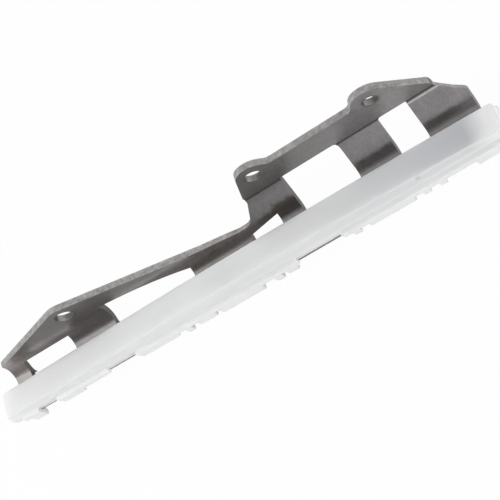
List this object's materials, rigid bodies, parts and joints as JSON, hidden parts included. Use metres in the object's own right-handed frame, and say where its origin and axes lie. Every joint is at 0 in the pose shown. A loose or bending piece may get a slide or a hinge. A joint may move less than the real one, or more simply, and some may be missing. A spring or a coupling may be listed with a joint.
{
  "type": "timing chain guide",
  "caption": "Long stamped steel bracket with windows and three bolt holes, bent along its length, carrying a clipped-on white nylon shoe with a flat rubbing face for a timing chain",
  "frame": {"origin": "middle of the centre bolt hole, half-way through the sheet", "axes": "+X along the guide, towards the end with the small bolt hole; +Y away from the bolt heads, into the engine; +Z out of the rubbing face"},
  "size_m": [0.2762, 0.0357, 0.0437],
  "materials": {
    "bare_steel": "dull pressed steel, grey",
    "nylon": "natural white nylon, satin"
  },
  "bodies": {
    "root": {"steel_bracket": "bare_steel", "nylon_shoe": "nylon"}
  },
  "joints": []
}
